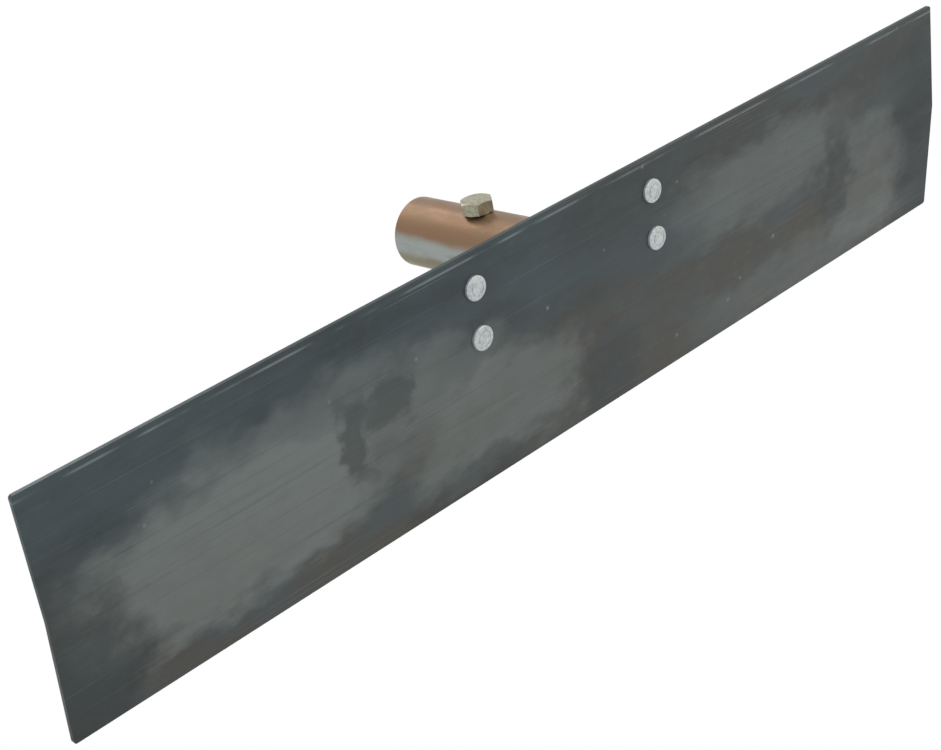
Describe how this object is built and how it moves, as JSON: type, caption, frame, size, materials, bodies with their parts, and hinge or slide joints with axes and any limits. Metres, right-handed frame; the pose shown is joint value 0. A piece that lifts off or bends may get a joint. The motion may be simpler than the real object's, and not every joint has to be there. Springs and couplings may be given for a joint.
{
  "type": "plow blade",
  "caption": "Long steel plow blade, bent slightly along its length, bolted to a mounting plate with a welded round socket; a cross bolt locks a push tube in the socket.",
  "frame": {"origin": "centre of the socket's mouth, on the socket's axis", "axes": "+Y along the socket and out of its mouth, so the blade is on the -Y side; +X along the blade's length; +Z from the cutting edge up to the top edge"},
  "size_m": [0.762, 0.1359, 0.1513],
  "materials": {
    "blade_steel": "raw hot-rolled steel with blue-grey mill scale",
    "yellow_zinc": "zinc plate with a yellow passivated tint",
    "weld_metal": "plated weld bead, rippled",
    "pale_zinc": "dull galvanised zinc",
    "lock_zinc": "zinc plate with a faint yellow tint"
  },
  "bodies": {
    "blade_assembly": {"blade": "blade_steel", "mounting_plate": "yellow_zinc", "socket_tube": "yellow_zinc", "socket_weld": "weld_metal", "carriage_bolt_upper_left": "pale_zinc", "carriage_bolt_upper_right": "pale_zinc", "carriage_bolt_lower_left": "pale_zinc", "carriage_bolt_lower_right": "pale_zinc", "flat_washer_upper_left": "pale_zinc", "flat_washer_upper_right": "pale_zinc", "flat_washer_lower_left": "pale_zinc", "flat_washer_lower_right": "pale_zinc", "spring_washer_upper_left": "pale_zinc", "spring_washer_upper_right": "pale_zinc", "spring_washer_lower_left": "pale_zinc", "spring_washer_lower_right": "pale_zinc", "nut_upper_left": "pale_zinc", "nut_upper_right": "pale_zinc", "nut_lower_left": "pale_zinc", "nut_lower_right": "pale_zinc"},
    "lock_bolt": {"lock_bolt": "lock_zinc"},
    "lock_washers": {"lock_flat_washer": "lock_zinc", "lock_spring_washer": "lock_zinc"},
    "lock_nut": {"lock_nut": "lock_zinc"}
  },
  "joints": [
    {"name": "lock_bolt_draw", "type": "slide", "parent": "blade_assembly", "child": "lock_bolt", "axis": [0, 0, 1], "range_m": [0, 0.0625]},
    {"name": "lock_nut_travel", "type": "slide", "parent": "blade_assembly", "child": "lock_washers", "axis": [0, 0, -1], "range_m": [0, 0.01564]},
    {"name": "lock_nut_turn", "type": "hinge", "parent": "lock_washers", "child": "lock_nut", "pos_m": [0, -0.059, -0.034], "axis": [0, 0, -1], "range_deg": [0, 2880]}
  ],
  "couplings": [
    {"joint": "lock_nut_travel", "follows": "lock_nut_turn", "m_per_rad": 0.00031096}
  ]
}
